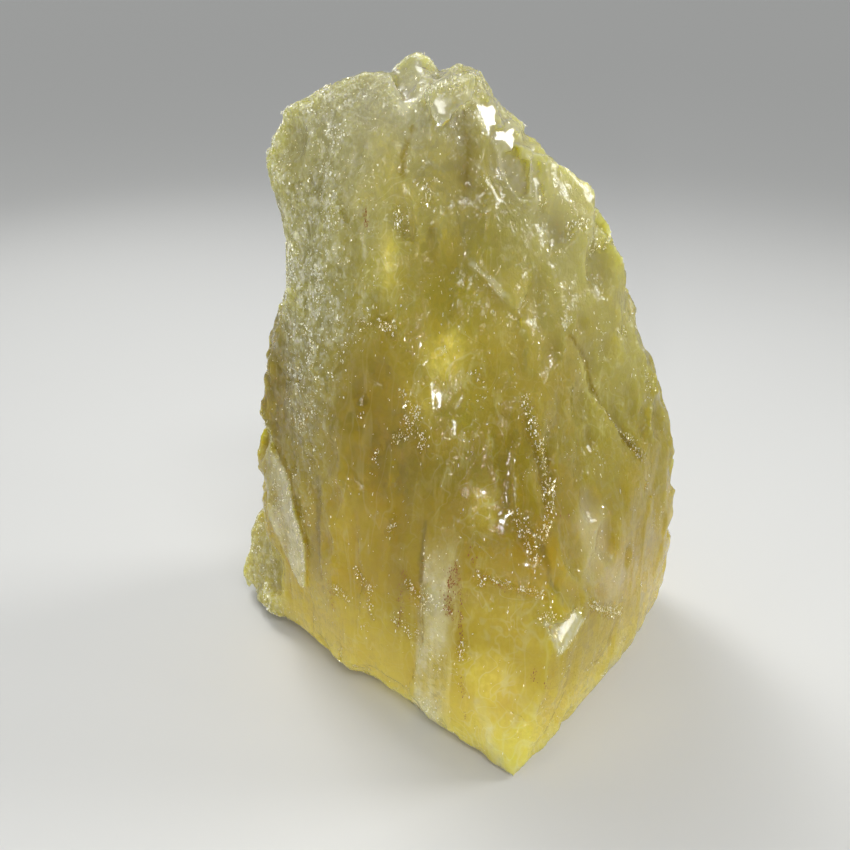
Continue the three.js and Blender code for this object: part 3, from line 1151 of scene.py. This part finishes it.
def wavy_sheet(rng, count, middle, across, upward, wave, length):
    """Places on a sheet that swells by noise of wave, with waves of length, and the way that the sheet
    faces at each. They thin out from its middle to its rim."""
    across, upward = np.array(across, float), np.array(upward, float)
    spread = np.clip(rng.normal(0, 0.45, (count, 2)), -1, 1)
    out = unit(np.cross(across, upward))
    flat = np.array(middle, float) + spread[:, :1] * across + spread[:, 1:] * upward
    seed = int(rng.integers(1000))
    swell = rough_noise(flat, length, seed)
    tilt = [rough_noise(flat + unit(way), length, seed) - swell for way in (across, upward)]
    facing = out - wave * (tilt[0][:, None] * unit(across) + tilt[1][:, None] * unit(upward))
    return flat + wave * swell[:, None] * out, facing


def sheets_of_flakes(name, rng, sheets, shake, sizes, stretch):
    """Flakes on wavy sheets, each shaken a little out of the way that its sheet faces."""
    made = [wavy_sheet(rng, *sheet) for sheet in sheets]
    places = np.concatenate([sheet[0] for sheet in made])
    facing = np.concatenate([sheet[1] for sheet in made]) + shake * rng.normal(size=(len(places), 3))
    return flakes(name, places, facing, rng.uniform(*sizes, len(places)), rng, stretch)


def make_veils():
    """Whitish veils: wavy upright sheets of small flakes, and clouds of them near the left side."""
    sheets = [
        (750, (-14, 0, 122), (12, 3, 0), (-2, -3, 24), 4, 12),
        (750, (3, 2, 118), (10, -5, 0), (2, -4, 26), 4, 10),
        (650, (18, 4, 108), (10, 8, 0), (6, -4, 22), 4, 10),
        (650, (30, -2, 80), (10, 9, 0), (-3, -6, 26), 4, 12),
        (600, (-30, 4, 95), (8, -8, 0), (2, -4, 34), 4, 12),
        (700, (-12, -12, 66), (12, -6, 0), (3, -4, 30), 5, 12),
        (600, (8, -16, 58), (12, 4, 0), (-3, -4, 30), 5, 12),
        (600, (0, 20, 70), (34, 0, 0), (0, -6, 50), 6, 18),
    ]
    made = sheets_of_flakes("veils", np.random.default_rng(11), sheets, 0.35, (0.2, 0.6), 1.8)
    make = Finish("veil")
    tint = make.ramp(make.height(), VEIL_TINTS)
    made.data.materials.append(make.finish(make.principled({"Base Color": tint, "Roughness": 0.35})))


def make_sparks():
    """Bright crumpled cracks that throw the light back: glossy flakes on tightly waved sheets in the core."""
    sheets = [
        (420, (-3, -10, 97), (5, 3, 0), (3, -3, 10), 5, 6),
        (260, (1, -5, 112), (4, 3, 0), (2, -3, 9), 3, 6),
    ]
    made = sheets_of_flakes("sparks", np.random.default_rng(12), sheets, 0.25, (0.3, 1.3), 1.5)
    made.data.materials.append(chip_face("crack_face", [(1.0, 0.82, 0.06), (1.0, 0.92, 0.16)], 0.5, 0.35))


def chips(name, weight, count, sizes, lean, rng, stretch=1.0, proud=0.04):
    """Tiny chips set in the skin, more of them where weight is high. Each faces out but for a random lean,
    and is proud of the skin by a hair."""
    chosen = rng.choice(len(weight), count, p=weight / weight.sum())
    out = skin.normals()[chosen]
    shift = rng.uniform(-0.6, 0.6, (count, 3)) * stone.pitch
    shift -= (shift * out).sum(1)[:, None] * out
    places = skin.points[chosen] + shift + proud * out
    size = sizes[0] * (sizes[1] / sizes[0]) ** rng.random(count)
    return flakes(name, places, out + lean * rng.normal(size=(count, 3)), size, rng, stretch, False)


def chip_face(name, colours, metallic, roughness):
    """The finish of tiny broken faces, bright enough to glint, with two colours that drift into each
    other."""
    make = Finish(name)
    drift = (4 * (make.noise((300, 300, 200)) - 0.38)).limited()
    tint = make.blend(drift, *((*colour, 1) for colour in colours))
    return make.finish(make.principled({"Base Color": tint, "Metallic": metallic, "Roughness": roughness}))


def make_glitter():
    """The small broken faces that catch the light: thick along the glittering ledges and the bright edges,
    fine on the frosted side and the crest, and few on the rest."""
    rng = np.random.default_rng(14)
    points = skin.points
    above = (points[:, 2] > 1.0) * 1.0
    clumps = 0.15 + smoothstep(0.0, 0.6, noise(points, 4.0, 75))
    lines = (masks["glint"] ** 2 + 0.6 * masks["rims"] + 0.04 * masks["edge"]) * above
    above *= 1 - 0.9 * masks["glassy"]
    frosted = (masks["frost"] ** 1.5) * above * clumps
    loose = above * smoothstep(0.45, 0.75, noise(points, 5.0, 76)) + 0.02 * above
    swarms = blobs(points, [(-3, 98, 16, 20, 1.0), (-20, 42, 18, 16, 0.6)])
    loose += 0.12 * above * swarms * (points[:, 1] < 0)
    glossy = chip_face("chip_face", [(1.0, 0.92, 0.62), (1.0, 0.98, 0.82)], 0.8, 0.36)
    sugary = chip_face("sugar_grain", [(0.94, 0.91, 0.70), (0.98, 0.97, 0.86)], 0.5, 0.42)
    for name, weight, count, sizes, lean, stretch, material in (
        ("ledge_chips", lines, 2600, (0.10, 0.42), 0.45, 1.3, glossy),
        ("frost_chips", frosted, 4500, (0.08, 0.36), 0.45, 1.3, glossy),
        ("frost_grains", frosted, 6000, (0.10, 0.46), 0.45, 1.3, sugary),
        ("loose_chips", loose, 2300, (0.08, 0.28), 0.40, 1.3, glossy),
        ("splinters", lines + 0.04 * above, 1500, (0.08, 0.18), 0.35, 5.0, glossy),
    ):
        chips(name, weight, count, sizes, lean, rng, stretch).data.materials.append(material)


def make_rust():
    """Rust in the fine cracks beside the rib and at a few spots: dark red-brown specks in the skin."""
    rng = np.random.default_rng(13)
    stains = [
        ([(-0.9, 55), (0.2, 48), (0.6, 44.7), (0.5, 34.4), (1.2, 24), (2.2, 12)], 0.24, 1.3),
        ([(-1.6, 51), (-2.4, 44), (-2.0, 40)], 0.9, 0.8),
        ([(2, 58), (4, 53), (7, 50.5), (11, 49)], 0.6, 0.25),
        ([(-13, 47), (-13.6, 36), (-14.5, 30)], 0.8, 0.3),
        ([(-21, 129), (-20.7, 126)], 0.4, 1.2),
        ([(-33, 34), (-32, 26)], 0.9, 0.2),
        ([(17, 29), (21, 25)], 1.0, 0.2),
        ([(22, 66), (26, 62)], 0.8, 0.15),
    ]
    weight = np.zeros(len(skin.points))
    for corners, width, strength in stains:
        away = along(skin.points, front_path(stone, corners))[0]
        weight = np.maximum(weight, strength * np.exp(-((away / width) ** 2)))
    made = chips("rust_specks", weight, 620, (0.07, 0.22), 0.15, rng, 2.4, 0.06)
    make = Finish("rust")
    tint = make.blend(make.noise((900, 900, 900)), (0.12, 0.022, 0.001, 1), (0.34, 0.10, 0.006, 1))
    made.data.materials.append(make.finish(make.principled({"Base Color": tint, "Roughness": 0.7})))


make_veils()
make_sparks()
make_glitter()
make_rust()

# ---------------------------------------------------------------- stage and light


def make_floor():
    """A plain pale floor that reaches past the view's far edge."""
    reach = 12.0
    corners = np.array([[-1, -1, 0], [1, -1, 0], [1, 1, 0], [-1, 1, 0]]) * reach / MM
    floor = make_mesh("floor", corners, np.array([[0, 1, 2, 3]]), False)
    plain = Finish("floor")
    sockets = {"Base Color": (0.66, 0.66, 0.64, 1), "Roughness": 0.9, "Specular IOR Level": 0.1}
    floor.data.materials.append(plain.finish(plain.principled(sockets)))


def make_lamp(name, place, target, size, power, spread=70):
    """A soft square lamp at place that faces target and lights only a cone, spread degrees wide, round it."""
    data = bpy.data.lights.new(name, "AREA")
    data.shape = "RECTANGLE"
    data.size, data.size_y = size
    data.energy = power
    data.spread = math.radians(spread)
    lamp = bpy.data.objects.new(name, data)
    lamp.location = place
    way = np.array(target) - np.array(place)
    yaw = math.atan2(way[1], way[0])
    drop = math.atan2(math.hypot(way[0], way[1]), -way[2])
    lamp.rotation_euler = (drop, 0, yaw - math.pi / 2)
    bpy.context.collection.objects.link(lamp)


def make_light():
    """Broad soft light from above and behind on the left, small lamps round it that glint, and an even pale
    room."""
    middle = (0, 0, 0.08)
    low = (0, 0, 0.03)
    crest = (0, 0, 0.14)
    sun = bpy.data.lights.new("skylight", "SUN")
    sun.energy = 0.75
    sun.angle = math.radians(30)
    key = bpy.data.objects.new("skylight", sun)
    key.rotation_euler = (math.radians(-32), math.radians(-22), 0)
    bpy.context.collection.objects.link(key)
    make_lamp("overhead", (-0.35, 0.50, 0.95), middle, (0.24, 0.24), 0.35)
    make_lamp("back_low", (-0.45, 0.60, 0.30), low, (0.30, 0.20), 0.2)
    make_lamp("window", (0.88, 0.20, 0.56), crest, (0.30, 0.28), 0.70)
    make_lamp("front_top", (0.20, -0.58, 0.92), middle, (0.50, 0.16), 0.48)
    make_lamp("front_low", (-0.20, -1.00, 0.25), low, (0.06, 0.03), 0.34)
    make_lamp("right_low", (1.00, -0.25, 0.34), middle, (0.14, 0.08), 0.08)
    make_lamp("left_low", (-0.90, -0.62, 0.30), middle, (0.20, 0.10), 0.15)
    world = bpy.data.worlds.new("room")
    world.use_nodes = True
    world.node_tree.nodes["Background"].inputs["Color"].default_value = (0.80, 0.82, 0.84, 1)
    world.node_tree.nodes["Background"].inputs["Strength"].default_value = 0.38
    bpy.context.scene.world = world


make_floor()
make_light()


def set_render():
    """Enough bounces for light to find its way out of the crystal, and colours shown as they are."""
    scene = bpy.context.scene
    scene.cycles.max_bounces = 12
    scene.cycles.transmission_bounces = 12
    scene.cycles.glossy_bounces = 4
    scene.cycles.diffuse_bounces = 4
    scene.cycles.transparent_max_bounces = 16
    scene.view_settings.view_transform = "Standard"


set_render()
